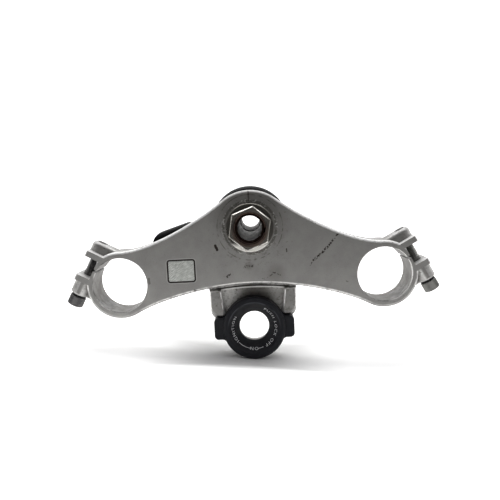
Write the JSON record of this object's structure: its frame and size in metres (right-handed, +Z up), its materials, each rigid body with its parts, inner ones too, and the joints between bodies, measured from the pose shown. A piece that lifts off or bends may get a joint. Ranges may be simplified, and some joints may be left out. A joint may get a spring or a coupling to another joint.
{
  "type": "motorcycle triple clamp",
  "caption": "Cast motorcycle top yoke with split fork clamps, swept arms, a steering stem with nut and washer, and a front bracket with a black ignition lock surround.",
  "frame": {"origin": "on the steering axis, level with the yoke's top face", "axes": "+Z up along the steering axis, +X to the rider's right, +Y towards the rider, the lock bracket on -Y"},
  "size_m": [0.3026, 0.1383, 0.1661],
  "materials": {
    "cast_alloy": "satin grey cast",
    "bright_steel": "bright plated",
    "stem_steel": "machined",
    "black_steel": "black oxide",
    "black_plastic": "moulded satin",
    "black_paint": "satin black",
    "bare_plate": "bare, mottled"
  },
  "bodies": {
    "root": {"top_yoke": "cast_alloy", "stem_nut": "bright_steel", "stem_washer": "bright_steel", "steering_stem": "stem_steel", "adjuster_nut": "stem_steel", "lock_washer": "stem_steel", "dust_cap": "black_paint", "left_pinch_bolt": "black_steel", "right_pinch_bolt": "black_steel", "left_pinch_washer": "black_steel", "right_pinch_washer": "black_steel", "lock_ring": "black_plastic", "left_ring_screw": "black_steel", "right_ring_screw": "black_steel", "name_plate": "bare_plate", "hose_guide": "black_paint", "hose_guide_bolt": "black_steel"}
  },
  "joints": []
}
